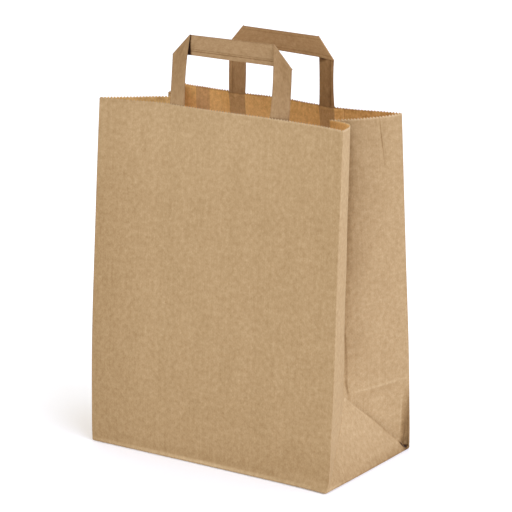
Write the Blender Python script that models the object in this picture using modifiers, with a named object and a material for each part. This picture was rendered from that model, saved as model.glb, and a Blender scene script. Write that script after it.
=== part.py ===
"""Brown kraft paper carrier bag with a block bottom, folded sides and two flat tape handles.

The bag stands open on its bottom. X runs across the front, Y from front to back and Z up.
The body is one sheet: front, folded right side, rear with the glued lap seam, folded left
side, and a bottom closed by two glued flaps. Each handle is one folded tape, glued to the
inside of a wall under a paper patch.
"""
import math

import bmesh
import bpy
from mathutils import Vector

# The flat bag
BAG_WIDTH = 0.254
BAG_DEPTH = 0.138
WALL_HEIGHT = 0.315
PAPER = 0.00015
FLAP_OVERLAP = 0.024
SEAM_WIDTH = 0.016
SEAM_TO_CORNER = 0.025
TOOTH_PITCH = 0.003
TOOTH_DEPTH = 0.0014

# The handles and their patches
TAPE_WIDTH = 0.0173
TAPE_THICKNESS = 0.0006
HANDLE_WIDTH = 0.1235
HANDLE_RISE = 0.0625
TAPE_BELOW_RIM = 0.042
HANDLE_LEAN = math.radians(6.0)
HANDLE_SHIFT = {"front": 0.003, "rear": 0.0}
PATCH_WIDTH = 0.140
PATCH_BELOW_RIM = 0.002
PATCH_PAST_TAPE = 0.008
PATCH_RAMP = 0.003

# Clearance between two pieces that touch, and how far joined plies run into each other
GAP = 0.0003
JOIN = 0.00005

# How the opened bag stands: where each rim corner lies from its own bottom corner
RIM_SHIFT = {
    "front_left": (-0.0032, 0.0257),
    "front_right": (-0.0032, 0.0254),
    "rear_right": (0.0032, -0.0262),
    "rear_left": (0.0160, -0.0200),
}
# 1 is a straight upright edge, more bends it towards the rim
EDGE_CURVE = {"front_left": 1.45, "front_right": 1.05, "rear_right": 1.15, "rear_left": 1.15}

# Inward bow of the rim: a broad one, and a dent with its place and spread across the wall
BOW = {"front": (0.0088, 3.5), "rear": (0.0042, 4.0)}
DENT = {"front": (0.0055, 0.235, 0.085), "rear": (0.0103, 0.22, 0.15)}
BOW_CURVE = 1.6

# Side folds at the rim: how far the middle crease lies inside the bottom edge and behind centre
FOLD_IN = {"right": (0.048, 0.0065), "left": (0.037, 0.0130)}
# Outward bulge and one full wave of each half of a side, at the rim
HALF_BULGE = {
    "front_right": (0.009, 0.0),
    "rear_right": (0.0065, 0.0),
    "front_left": (0.001, 0.0),
    "rear_left": (0.0, -0.006),
}
BULGE_CURVE = 1.3

# How finely the sheet is divided
CELLS_PER_HALF_SIDE = 6
UPPER_ROWS = 8
COLUMN_PITCH = 0.0127
RIM_BAND = 0.006
SEAM_STEP = 0.0004
SLOPE_STEP = 0.0005
TAPE_ROWS = 4
PATCH_ROWS = 4

# Two places on the sheet nearer than this are the same place
SAME_PLACE = 1e-7

HALF_SIDE = BAG_DEPTH / 2
CORNERS = {
    "front_left": (-BAG_WIDTH / 2, -BAG_DEPTH / 2),
    "front_right": (BAG_WIDTH / 2, -BAG_DEPTH / 2),
    "rear_right": (BAG_WIDTH / 2, BAG_DEPTH / 2),
    "rear_left": (-BAG_WIDTH / 2, BAG_DEPTH / 2),
}
SIDE_SIGN = {"right": 1, "left": -1}

COLOURS = {
    "bag_body": (0.539, 0.362, 0.191, 1),
    "handle": (0.371, 0.235, 0.120, 1),
    "patch": (0.474, 0.305, 0.147, 1),
}


def clear_scene():
    for thing in list(bpy.data.objects):
        bpy.data.objects.remove(thing, do_unlink=True)


def new_collection(name):
    group = bpy.data.collections.new(name)
    bpy.context.scene.collection.children.link(group)
    return group


def paper_material(name, colour):
    """A matt uncoated paper."""
    material = bpy.data.materials.new(name)
    material.use_nodes = True
    shader = material.node_tree.nodes["Principled BSDF"]
    shader.inputs["Base Color"].default_value = colour
    shader.inputs["Roughness"].default_value = 0.85
    shader.inputs["Metallic"].default_value = 0.0
    return material


# The folded sheet. "across" is a distance along the paper's width, "up" one along its height.


def corner_edge(corner, up):
    """A point on one of the four upright creases."""
    base_x, base_y = CORNERS[corner]
    shift_x, shift_y = RIM_SHIFT[corner]
    share = up / WALL_HEIGHT
    bend = share ** EDGE_CURVE[corner]
    rise = math.sqrt(WALL_HEIGHT**2 - shift_x**2 - shift_y**2)
    return Vector((base_x + shift_x * bend, base_y + shift_y * bend, rise * share))


def wall_point(wall, across, up):
    """A point on the front wall, from its left edge, or on the rear wall, from its right edge."""
    if wall == "front":
        start, end, inward = "front_left", "front_right", 1
    else:
        start, end, inward = "rear_right", "rear_left", -1
    share = across / BAG_WIDTH
    point = corner_edge(start, up).lerp(corner_edge(end, up), share)
    depth, squareness = BOW[wall]
    dent, centre, spread = DENT[wall]
    bow = depth * (1 - abs(2 * share - 1) ** squareness)
    bow += dent * math.sin(math.pi * share) * math.exp(-(((share - centre) / spread) ** 2))
    point.y += inward * bow * (up / WALL_HEIGHT) ** BOW_CURVE
    return point


def front_wall(across, up):
    return wall_point("front", across, up)


def rear_wall(across, up):
    return wall_point("rear", across, up)


def fold_tilt(side):
    """How far the lower triangle of a side tips inward when both walls lean by their mean lean."""
    leans = [abs(RIM_SHIFT[f"{end}_{side}"][1]) / WALL_HEIGHT for end in ("front", "rear")]
    lean = math.asin(sum(leans) / 2)
    return math.acos((1 - math.sin(lean)) / math.cos(lean))


def triangle_point(side, from_front, up):
    """A point on the flat lower triangle of a side."""
    tilt = fold_tilt(side)
    reach = BAG_WIDTH / 2 - up * math.sin(tilt)
    return Vector((SIDE_SIGN[side] * reach, from_front - HALF_SIDE, up * math.cos(tilt)))


def middle_crease(side, up):
    """A point on the upright crease in the middle of a side, above the triangle's tip."""
    foot = triangle_point(side, HALF_SIDE, HALF_SIDE)
    fold_in, behind = FOLD_IN[side]
    drift_x = SIDE_SIGN[side] * (BAG_WIDTH / 2 - fold_in) - foot.x
    length = WALL_HEIGHT - HALF_SIDE
    rise = math.sqrt(length**2 - drift_x**2 - behind**2)
    share = (up - HALF_SIDE) / length
    return foot + Vector((drift_x, behind, rise)) * share


def side_point(side, from_front, up):
    """A point on a folded side, measured from its front edge."""
    in_front = from_front <= HALF_SIDE
    corner = f"{'front' if in_front else 'rear'}_{side}"
    reach = from_front if in_front else BAG_DEPTH - from_front
    if up <= reach + SAME_PLACE:
        return triangle_point(side, from_front, up)
    edge = corner_edge(corner, up)
    if up < HALF_SIDE:
        tip = triangle_point(side, up if in_front else BAG_DEPTH - up, up)
        return edge.lerp(tip, reach / up)
    crease = middle_crease(side, up)
    share = reach / HALF_SIDE
    chord = crease - edge
    outward = Vector((chord.y, -chord.x, 0)).normalized()
    if outward.x * SIDE_SIGN[side] < 0:
        outward.negate()
    bulge, wave = HALF_BULGE[corner]
    swell = bulge * math.sin(math.pi * share) + wave * math.sin(2 * math.pi * share)
    growth = ((up - HALF_SIDE) / (WALL_HEIGHT - HALF_SIDE)) ** BULGE_CURVE
    return edge.lerp(crease, share) + outward * swell * growth


def right_side(across, up):
    return side_point("right", across, up)


def left_side(across, up):
    return side_point("left", BAG_DEPTH - across, up)


def spaced(marks, pitch):
    """The marks, with each stretch between two of them divided evenly at about the pitch."""
    marks = sorted(marks)
    places = []
    for low, high in zip(marks, marks[1:]):
        count = max(1, math.ceil((high - low - SAME_PLACE) / pitch))
        places += [low + (high - low) * step / count for step in range(count)]
    return places + [marks[-1]]


def handle_centre(wall):
    return BAG_WIDTH / 2 + HANDLE_SHIFT[wall]


def leg_edges(wall):
    """Both edges of both legs of a handle, across its wall."""
    centre = handle_centre(wall)
    outer = HANDLE_WIDTH / 2
    inner = outer - TAPE_WIDTH
    return [(centre - outer, centre - inner), (centre + inner, centre + outer)]


def wall_columns(wall):
    """Where the wall's upright mesh lines lie: its handle, patch and seam each have their own."""
    centre = handle_centre(wall)
    marks = [0.0, centre - PATCH_WIDTH / 2, centre + PATCH_WIDTH / 2, BAG_WIDTH]
    for low, high in leg_edges(wall):
        marks += [low - PATCH_RAMP, low, high, high + PATCH_RAMP]
    if wall == "rear":
        marks += seam_marks()
    return spaced(marks, COLUMN_PITCH)


def seam_marks():
    """The lap seam's edges across the rear wall, each with the small step of the upper ply."""
    high = BAG_WIDTH - SEAM_TO_CORNER
    low = high - SEAM_WIDTH
    return [low, low + SEAM_STEP, high - SEAM_STEP, high]


def side_columns():
    return spaced([0.0, HALF_SIDE, BAG_DEPTH], HALF_SIDE / CELLS_PER_HALF_SIDE)


def sheet_columns():
    """All upright mesh lines round the bag, as (surface, across, next across, rising fold)."""
    columns = []
    for surface, places in (
        (front_wall, wall_columns("front")),
        (right_side, side_columns()),
        (rear_wall, wall_columns("rear")),
        (left_side, side_columns()),
    ):
        for low, high in zip(places, places[1:]):
            rising = high <= HALF_SIDE + SAME_PLACE
            columns.append((surface, low, high, rising))
    return columns


def sheet_levels():
    lower = [HALF_SIDE * row / CELLS_PER_HALF_SIDE for row in range(CELLS_PER_HALF_SIDE)]
    top = WALL_HEIGHT - RIM_BAND
    upper = [HALF_SIDE + (top - HALF_SIDE) * row / UPPER_ROWS for row in range(UPPER_ROWS + 1)]
    return lower + upper


def sheet_vertex(sheet, surface, across, up):
    """A new point of the sheet, which notes where the lap seam makes the rear wall two plies."""
    vertex = sheet.verts.new(surface(across, up))
    low, _, _, high = seam_marks()
    if surface is rear_wall and low < across < high:
        vertex[sheet.verts.layers.deform.verify()][0] = 1.0
    return vertex


def serrated_rim(sheet, columns, top_row):
    """Close the top of the sheet with a band whose upper edge is cut in small teeth."""
    valley = WALL_HEIGHT - TOOTH_DEPTH
    valleys = [sheet_vertex(sheet, surface, across, valley) for surface, across, _, _ in columns]
    for index, (surface, low, high, _) in enumerate(columns):
        following = (index + 1) % len(columns)
        teeth = round((high - low) / TOOTH_PITCH)
        edge = [valleys[index]]
        for step in range(1, 2 * teeth):
            height = WALL_HEIGHT if step % 2 else valley
            across = low + (high - low) * step / (2 * teeth)
            edge.append(sheet_vertex(sheet, surface, across, height))
        edge.append(valleys[following])
        left, right = top_row[index], top_row[following]
        turn = teeth if teeth else 1
        for step in range(len(edge) - 1):
            foot = left if step < turn else right
            sheet.faces.new((foot, edge[step + 1], edge[step]))
        sheet.faces.new((left, right, edge[turn]))


def folded_sheet():
    """The whole sheet as an open surface: the walls, the folded sides and the floor."""
    sheet = bmesh.new()
    sheet.verts.layers.deform.verify()
    columns = sheet_columns()
    rows = []
    for level in sheet_levels():
        rows.append([sheet_vertex(sheet, surface, low, level) for surface, low, _, _ in columns])
    for lower, upper in zip(rows, rows[1:]):
        for index, (_, _, _, rising) in enumerate(columns):
            following = (index + 1) % len(columns)
            a, b = lower[index], lower[following]
            c, d = upper[following], upper[index]
            if rising:
                sheet.faces.new((a, b, c))
                sheet.faces.new((a, c, d))
            else:
                sheet.faces.new((a, b, d))
                sheet.faces.new((b, c, d))
    floor = sheet.faces.new(list(reversed(rows[0])))
    bmesh.ops.triangulate(sheet, faces=[floor])
    serrated_rim(sheet, columns, rows[-1])
    return sheet


def mesh_object(name, shape, group):
    mesh = bpy.data.meshes.new(name)
    shape.to_mesh(mesh)
    shape.free()
    thing = bpy.data.objects.new(name, mesh)
    group.objects.link(thing)
    return thing


def thicken(thing, thickness):
    """Give an open surface its ply, on the inner side of the surface."""
    ply = thing.modifiers.new("ply", "SOLIDIFY")
    ply.thickness = thickness
    ply.offset = -1
    ply.use_even_offset = True
    return ply


def join(thing, other):
    union = thing.modifiers.new("glued_" + other.name, "BOOLEAN")
    union.operation = "UNION"
    union.solver = "EXACT"
    union.object = other


def guide(thing):
    """A shape that is only joined to another one."""
    thing.hide_render = True
    thing.display_type = "WIRE"


def flat_outline(name, outline, low, high, group):
    """A flat ply with a straight-edged outline, as a closed mesh."""
    curve = bpy.data.curves.new(name, "CURVE")
    curve.dimensions = "2D"
    curve.fill_mode = "BOTH"
    curve.extrude = (high - low) / 2
    spline = curve.splines.new("POLY")
    spline.points.add(len(outline) - 1)
    for point, (x, y) in zip(spline.points, outline):
        point.co = (x, y, 0, 1)
    spline.use_cyclic_u = True
    drawn = bpy.data.objects.new(name + "_outline", curve)
    group.objects.link(drawn)
    bpy.context.view_layer.update()
    evaluated = drawn.evaluated_get(bpy.context.evaluated_depsgraph_get())
    mesh = bpy.data.meshes.new_from_object(evaluated)
    bpy.data.objects.remove(drawn, do_unlink=True)
    shape = bmesh.new()
    shape.from_mesh(mesh)
    bmesh.ops.remove_doubles(shape, verts=shape.verts, dist=SAME_PLACE)
    bmesh.ops.translate(shape, verts=shape.verts, vec=(0, 0, (low + high) / 2))
    bpy.data.meshes.remove(mesh)
    return mesh_object(name, shape, group)


def bottom_flap(name, end, low, group):
    """A glued bottom flap: full width at its fold, its two ends cut back at 45 degrees."""
    fold = end * (HALF_SIDE - JOIN)
    free = -end * FLAP_OVERLAP / 2
    half = BAG_WIDTH / 2 - JOIN
    short = half - (HALF_SIDE - JOIN + FLAP_OVERLAP / 2)
    outline = [(-half, fold), (half, fold), (short, free), (-short, free)]
    flap = flat_outline(name, outline, low, PAPER / 2, group)
    guide(flap)
    return flap


def bag_body(group, guides):
    body = mesh_object("bag_body", folded_sheet(), group)
    seam = body.vertex_groups.new(name="double_ply")
    ply = thicken(body, 2 * PAPER)
    ply.vertex_group = seam.name
    ply.thickness_vertex_group = 0.5
    join(body, bottom_flap("front_flap", -1, -PAPER, guides))
    join(body, bottom_flap("rear_flap", 1, -2 * PAPER, guides))
    return body


def inward_normal(wall, across, up):
    """The direction from the wall's paper into the bag."""
    along = wall_point(wall, across + SLOPE_STEP, up) - wall_point(wall, across - SLOPE_STEP, up)
    upward = wall_point(wall, across, up) - wall_point(wall, across, up - SLOPE_STEP)
    return upward.cross(along).normalized()


def inside_wall(wall, across, up, clearance):
    """A point inside the bag, at a clearance from the wall's inner face."""
    point = wall_point(wall, across, up)
    return point + inward_normal(wall, across, up) * (PAPER + clearance)


def tape_point(wall, across, height, clearance):
    """A point on a handle's tape, at a height over the rim: below it, the tape follows the wall."""
    if height <= 0:
        return inside_wall(wall, across, WALL_HEIGHT + height, clearance)
    rim = inside_wall(wall, across, WALL_HEIGHT, clearance)
    (left, _), (_, right) = leg_edges(wall)
    share = (across - left) / (right - left)
    straight = inside_wall(wall, left, WALL_HEIGHT, clearance).lerp(
        inside_wall(wall, right, WALL_HEIGHT, clearance), share
    )
    inward = 1 if wall == "front" else -1
    settled = min(1.0, height / (HANDLE_RISE - TAPE_WIDTH))
    point = rim.lerp(straight, settled * settled * (3 - 2 * settled))
    rise = Vector((0, inward * math.sin(HANDLE_LEAN), math.cos(HANDLE_LEAN)))
    return point + rise * height


def grid_surface(points):
    """An open surface through rows of points."""
    shape = bmesh.new()
    rows = [[shape.verts.new(point) for point in row] for row in points]
    for lower, upper in zip(rows, rows[1:]):
        for index in range(len(lower) - 1):
            a, b = lower[index], lower[index + 1]
            c, d = upper[index + 1], upper[index]
            shape.faces.new((a, b, c))
            shape.faces.new((a, c, d))
    return shape


def columns_between(wall, low, high):
    """The wall's own upright mesh lines from one place across it to another."""
    return [at for at in wall_columns(wall) if low - SAME_PLACE <= at <= high + SAME_PLACE]


def tape_leg(name, wall, edges, group):
    """One leg, from its glued end inside the wall to its 45 degree fold at the top."""
    low, high = edges
    left_leg = low < handle_centre(wall)
    places = columns_between(wall, low, high)
    shares = [row / TAPE_ROWS for row in range(TAPE_ROWS + 1)]
    rows = []
    for share in shares:
        rows.append([tape_point(wall, at, -TAPE_BELOW_RIM * (1 - share), GAP) for at in places])
    for share in shares[1:]:
        row = []
        for at in places:
            from_outside = at - low if left_leg else high - at
            top = HANDLE_RISE - TAPE_WIDTH + from_outside
            row.append(tape_point(wall, at, top * share, GAP))
        rows.append(row)
    leg = mesh_object(name, grid_surface(rows), group)
    thicken(leg, TAPE_THICKNESS)
    return leg


def tape_bar(name, wall, group):
    """The top of the handle, which lies on the inner side of both legs."""
    (left_out, left_in), (right_in, right_out) = leg_edges(wall)
    clearance = GAP + TAPE_THICKNESS - JOIN
    under = HANDLE_RISE - TAPE_WIDTH
    corners = [(left_out, under), (right_out, under), (right_in, HANDLE_RISE), (left_in, HANDLE_RISE)]
    shape = bmesh.new()
    shape.faces.new([shape.verts.new(tape_point(wall, at, up, clearance)) for at, up in corners])
    bar = mesh_object(name, shape, group)
    thicken(bar, TAPE_THICKNESS)
    return bar


def handle(wall, group, guides):
    """One tape, folded over at 45 degrees at both upper corners."""
    left_edges, right_edges = leg_edges(wall)
    whole = tape_leg(f"{wall}_handle", wall, left_edges, group)
    right_leg = tape_leg(f"{wall}_right_leg", wall, right_edges, guides)
    bar = tape_bar(f"{wall}_bar", wall, guides)
    for piece in (bar, right_leg):
        guide(piece)
        join(whole, piece)
    return whole


def patch(wall, group):
    """The paper glued over both tape ends, lifted where a leg runs under it."""
    centre = handle_centre(wall)
    places = columns_between(wall, centre - PATCH_WIDTH / 2, centre + PATCH_WIDTH / 2)
    top = WALL_HEIGHT - PATCH_BELOW_RIM
    bottom = WALL_HEIGHT - TAPE_BELOW_RIM - PATCH_PAST_TAPE
    rows = []
    lifted = [at for low, high in leg_edges(wall) for at in columns_between(wall, low, high)]
    for step in range(PATCH_ROWS + 1):
        up = bottom + (top - bottom) * step / PATCH_ROWS
        row = []
        for at in places:
            clearance = 2 * GAP + TAPE_THICKNESS if at in lifted else GAP
            row.append(inside_wall(wall, at, up, clearance))
        rows.append(row)
    cover = mesh_object(f"{wall}_handle_patch", grid_surface(rows), group)
    thicken(cover, PAPER)
    return cover


def build():
    clear_scene()
    parts = new_collection("paper_carrier_bag")
    guides = new_collection("joined_plies")
    stand = bpy.data.objects.new("bag_stand", None)
    stand.location = (0, 0, 2 * PAPER)
    parts.objects.link(stand)

    pieces = {"bag_body": [bag_body(parts, guides)], "handle": [], "patch": []}
    for wall in ("front", "rear"):
        pieces["handle"].append(handle(wall, parts, guides))
        pieces["patch"].append(patch(wall, parts))
    for kind, things in pieces.items():
        for thing in things:
            thing.data.materials.append(paper_material(thing.name + "_paper", COLOURS[kind]))
            thing.data.shade_flat()
            thing.parent = stand
    for thing in guides.objects:
        thing.parent = stand
    bpy.context.view_layer.update()


build()
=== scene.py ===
"""A brown kraft paper carrier bag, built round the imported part.

It follows the bag as it is made: one folded sheet, its glued block bottom and lap seam, two
folded paper tapes as handles and the two patches that hold their ends.
"""

import math

import bmesh
import bpy
import numpy as np
from mathutils import Matrix, Vector


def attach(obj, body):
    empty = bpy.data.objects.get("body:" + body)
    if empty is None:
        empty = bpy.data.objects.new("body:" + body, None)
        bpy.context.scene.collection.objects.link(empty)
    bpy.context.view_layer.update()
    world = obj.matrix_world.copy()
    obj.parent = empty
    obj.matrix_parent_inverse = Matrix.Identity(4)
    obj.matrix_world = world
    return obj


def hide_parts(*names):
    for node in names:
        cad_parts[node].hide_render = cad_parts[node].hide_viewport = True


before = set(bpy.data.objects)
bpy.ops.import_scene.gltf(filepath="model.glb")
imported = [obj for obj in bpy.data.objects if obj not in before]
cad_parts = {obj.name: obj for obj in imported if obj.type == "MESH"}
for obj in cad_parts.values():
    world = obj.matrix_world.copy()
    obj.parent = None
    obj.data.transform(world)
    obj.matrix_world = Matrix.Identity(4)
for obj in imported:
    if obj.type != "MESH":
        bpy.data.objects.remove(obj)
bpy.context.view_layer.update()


# Camera. It looks at the bag's front and right side from a little above, through a long lens,
# as in the photograph. The lens and the place come from the bag's own corners.
STAND = 0.0003  # the two glued bottom plies, between the table and the folded sheet
LENS_MM, SENSOR_MM = 181.0, 36.0
CAMERA_PLACE = (1.2224, -1.8343, 0.7800 + STAND)
CAMERA_YAW, CAMERA_PITCH, CAMERA_ROLL = (
    math.radians(angle) for angle in (33.526, 15.311, -0.23))

ahead = Vector((
    -math.sin(CAMERA_YAW) * math.cos(CAMERA_PITCH),
    math.cos(CAMERA_YAW) * math.cos(CAMERA_PITCH),
    -math.sin(CAMERA_PITCH),
))
level_right = Vector((math.cos(CAMERA_YAW), math.sin(CAMERA_YAW), 0))
level_up = level_right.cross(ahead)
camera_right = level_right * math.cos(CAMERA_ROLL) + level_up * math.sin(CAMERA_ROLL)
camera_up = level_up * math.cos(CAMERA_ROLL) - level_right * math.sin(CAMERA_ROLL)
lens = bpy.data.cameras.new("photo_camera")
lens.lens, lens.sensor_width = LENS_MM, SENSOR_MM
lens.clip_start, lens.clip_end = 0.05, 50.0
camera = bpy.data.objects.new("photo_camera", lens)
turned = Matrix((camera_right, camera_up, -ahead)).transposed().to_4x4()
camera.matrix_world = Matrix.Translation(CAMERA_PLACE) @ turned
bpy.context.scene.collection.objects.link(camera)
bpy.context.scene.camera = camera


# The folded sheet. One web of brown kraft paper, printed with nothing, folded into a tube with
# two tucked sides, closed by a lap seam, and cut across with a toothed knife at the rim.
BAG_WIDTH, BAG_DEPTH, WALL_HEIGHT = 0.254, 0.138, 0.315
HALF_SIDE = BAG_DEPTH / 2
GIRTH = 2 * (BAG_WIDTH + BAG_DEPTH)
SHEET_THICKNESS = 0.0002
TOOTH_PITCH, TOOTH_DEPTH = 0.003, 0.0014

# Where each rim corner of the opened bag lies from its own bottom corner, and how late its
# edge bends: 1 is straight
RIM_SHIFT = {
    "front_left": (-0.0032, 0.0257),
    "front_right": (-0.0032, 0.0254),
    "rear_right": (0.0032, -0.0262),
    "rear_left": (0.0160, -0.0200),
}
EDGE_CURVE = {"front_left": 1.45, "front_right": 1.05, "rear_right": 1.15, "rear_left": 1.15}
# Inward bow of each rim, broad and then as a dent with its place and spread across the wall
BOW = {"front": (0.0088, 3.5), "rear": (0.0042, 4.0)}
DENT = {"front": (0.0055, 0.235, 0.085), "rear": (0.0103, 0.22, 0.15)}
BOW_CURVE = 1.6
# Middle crease of each tucked side at the rim: how far inside its foot line, and behind centre
FOLD_IN = {"right": (0.048, 0.0065), "left": (0.037, 0.0130)}
# Outward bulge and one full wave of each half of a tucked side at the rim, and how late both grow
HALF_BULGE = {
    "front_right": (0.0115, 0.0, 0.6),
    "rear_right": (0.0065, 0.0, 1.3),
    "front_left": (0.001, 0.0, 1.3),
    "rear_left": (0.0, -0.006, 1.3),
}
CORNERS = {
    "front_left": (-BAG_WIDTH / 2, -HALF_SIDE),
    "front_right": (BAG_WIDTH / 2, -HALF_SIDE),
    "rear_right": (BAG_WIDTH / 2, HALF_SIDE),
    "rear_left": (-BAG_WIDTH / 2, HALF_SIDE),
}


def points(x, y, z):
    return np.stack(np.broadcast_arrays(x, y, z), axis=-1).astype(float)


def mixed(start, end, share):
    return start + (end - start) * np.asarray(share)[..., None]


def upright_crease(corner, up):
    """Points on one of the four upright creases."""
    (base_x, base_y), (shift_x, shift_y) = CORNERS[corner], RIM_SHIFT[corner]
    share = np.clip(up, 0, None) / WALL_HEIGHT
    bend = share ** EDGE_CURVE[corner]
    rise = math.sqrt(WALL_HEIGHT**2 - shift_x**2 - shift_y**2)
    return points(base_x + shift_x * bend, base_y + shift_y * bend, rise * share)


def wall(name, across, up):
    """Points on the front wall, from its left edge, or on the rear wall, from its right edge."""
    start, end, inward = {
        "front": ("front_left", "front_right", 1),
        "rear": ("rear_right", "rear_left", -1),
    }[name]
    under = np.clip(-up, 0, None)
    share = across / BAG_WIDTH
    place = mixed(upright_crease(start, up), upright_crease(end, up), share)
    depth, squareness = BOW[name]
    dent, centre, spread = DENT[name]
    bow = depth * (1 - np.abs(2 * share - 1) ** squareness)
    bow = bow + dent * np.sin(math.pi * share) * np.exp(-(((share - centre) / spread) ** 2))
    place[..., 1] += inward * (bow * (np.clip(up, 0, None) / WALL_HEIGHT) ** BOW_CURVE + under)
    reach = BAG_WIDTH / 2 - under
    place[..., 0] = np.where(under > 0, np.clip(place[..., 0], -reach, reach), place[..., 0])
    return place


def side_tilt(side):
    """How far the lower triangle of a tucked side tips inward, so that its edges keep their length."""
    leans = [abs(RIM_SHIFT[f"{end}_{side}"][1]) / WALL_HEIGHT for end in ("front", "rear")]
    lean = math.asin(sum(leans) / 2)
    return math.acos((1 - math.sin(lean)) / math.cos(lean))


def lower_triangle(side, from_front, up):
    """Points on the plane of a tucked side's lower triangle, or on the bottom where up is below 0."""
    sign = 1 if side == "right" else -1
    tilt = side_tilt(side)
    under = np.clip(-up, 0, None)
    up = np.clip(up, 0, None)
    reach = BAG_WIDTH / 2 - up * math.sin(tilt) - under
    from_middle = np.clip(from_front - HALF_SIDE, under - HALF_SIDE, HALF_SIDE - under)
    return points(sign * reach, from_middle, up * math.cos(tilt))


def middle_crease(side, up):
    """Points on the upright crease in the middle of a tucked side."""
    sign = 1 if side == "right" else -1
    foot = lower_triangle(side, np.float64(HALF_SIDE), np.float64(HALF_SIDE))
    fold_in, behind = FOLD_IN[side]
    drift = sign * (BAG_WIDTH / 2 - fold_in) - foot[0]
    length = WALL_HEIGHT - HALF_SIDE
    rise = math.sqrt(length**2 - drift**2 - behind**2)
    share = (up - HALF_SIDE) / length
    return foot + points(drift, behind, rise) * np.asarray(share)[..., None]


def tucked_half(side, end, reach, up):
    """Points on one half of a tucked side, at a distance from its own upright edge."""
    sign = 1 if side == "right" else -1
    corner = f"{end}_{side}"

    def from_front(distance):
        return distance if end == "front" else BAG_DEPTH - distance

    place = lower_triangle(side, from_front(reach), up)
    edge = upright_crease(corner, up)
    safe_up = np.clip(up, 1e-6, None)
    ruled = mixed(edge, lower_triangle(side, from_front(up), up), reach / safe_up)
    crease = middle_crease(side, up)
    chord = crease - edge
    outward = points(chord[..., 1], -chord[..., 0], 0 * up)
    outward /= np.linalg.norm(outward, axis=-1, keepdims=True)
    outward *= np.sign(outward[..., :1]) * sign
    bulge, wave, growth_curve = HALF_BULGE[corner]
    share = reach / HALF_SIDE
    swell = bulge * np.sin(math.pi * share) + wave * np.sin(2 * math.pi * share)
    growth = np.clip((up - HALF_SIDE) / (WALL_HEIGHT - HALF_SIDE), 0, None) ** growth_curve
    upper = mixed(edge, crease, share) + outward * (swell * growth)[..., None]
    place = np.where(((up > reach) & (up < HALF_SIDE))[..., None], ruled, place)
    return np.where((up >= HALF_SIDE)[..., None], upper, place)


def tucked_side(side, from_front, up):
    """Points on a whole tucked side, at a distance from its front edge."""
    front = tucked_half(side, "front", from_front, up)
    rear = tucked_half(side, "rear", BAG_DEPTH - from_front, up)
    return np.where((from_front <= HALF_SIDE)[..., None], front, rear)


# Round the bag from its front left edge: where each face starts, and its surface
FACES = [
    (0.0, lambda across, up: wall("front", across, up)),
    (BAG_WIDTH, lambda across, up: tucked_side("right", across, up)),
    (BAG_WIDTH + BAG_DEPTH, lambda across, up: wall("rear", across, up)),
    (2 * BAG_WIDTH + BAG_DEPTH, lambda across, up: tucked_side("left", BAG_DEPTH - across, up)),
]


def sharp_sheet(around, up):
    """The folded sheet with creases of no radius."""
    around = np.mod(around, GIRTH)
    place = np.zeros((*around.shape, 3))
    ends = [start for start, _ in FACES[1:]] + [GIRTH]
    for (start, surface), end in zip(FACES, ends):
        here = (around >= start) & (around < end)
        place[here] = surface(around[here] - start, up[here])
    return place


# Radius of the upright folds, of the bottom fold and of its front right corner, how far up the
# bottom fold's reaches, and the corner's place and spread round the bag
FOLD_TURN, BOTTOM_TURN, CORNER_TURN = 0.00045, 0.0016, 0.0024
BOTTOM_TURN_REACH = 0.010
CORNER_TURN_PLACE, CORNER_TURN_SPREAD = BAG_WIDTH - 0.01, 0.05
# Shares of the sharp sheet's points, from one radius before a place to one radius past it
ROUNDING = [(-1.0, 1 / 16), (-0.5, 4 / 16), (0.0, 6 / 16), (0.5, 4 / 16), (1.0, 1 / 16)]


def crease_radius(around, up):
    """How softly the sheet turns: tight at its upright folds, rounder along its bottom fold."""
    near_corner = np.exp(-(((around - CORNER_TURN_PLACE) / CORNER_TURN_SPREAD) ** 2))
    bottom = (BOTTOM_TURN + CORNER_TURN * near_corner) * np.exp(-np.abs(up) / BOTTOM_TURN_REACH)
    return np.maximum(FOLD_TURN, bottom)


def soft_sheet(around, up):
    """The folded sheet with the small radius that paper keeps at a crease."""
    radius = crease_radius(around, up)
    place = np.zeros((*around.shape, 3))
    for across_step, across_weight in ROUNDING:
        for up_step, up_weight in ROUNDING:
            shifted = sharp_sheet(around + radius * across_step, up + radius * up_step)
            place += across_weight * up_weight * shifted
    return place


def outward_normals(around, up, step=0.0012):
    """Directions straight out of the sheet, from neighbouring points a step away."""
    along = soft_sheet(around + step, up) - soft_sheet(around - step, up)
    upward = soft_sheet(around, up + step) - soft_sheet(around, up - step)
    normal = np.cross(along, upward)
    return normal / np.linalg.norm(normal, axis=-1, keepdims=True)


# Fourteen shallow waves, each with its wave number, direction, phase and share of the height
RIPPLE_RANDOM = np.random.default_rng(7)
SHORTEST_RIPPLE, LONGEST_RIPPLE = 0.030, 0.110
RIPPLES = [
    (
        2 * math.pi / RIPPLE_RANDOM.uniform(SHORTEST_RIPPLE, LONGEST_RIPPLE),
        RIPPLE_RANDOM.uniform(-0.9, 0.9),
        RIPPLE_RANDOM.uniform(0, 2 * math.pi),
        RIPPLE_RANDOM.uniform(0.5, 1.0),
    )
    for _ in range(14)
]
RIPPLE_HEIGHT = 0.00022
HELD_BY_FOLD, HELD_BY_FLOOR = 0.030, 0.040  # how far the folds and the floor hold the paper flat
RIPPLE_IN_TUCK = 0.2  # the narrow front half of the right side hardly buckles


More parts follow.
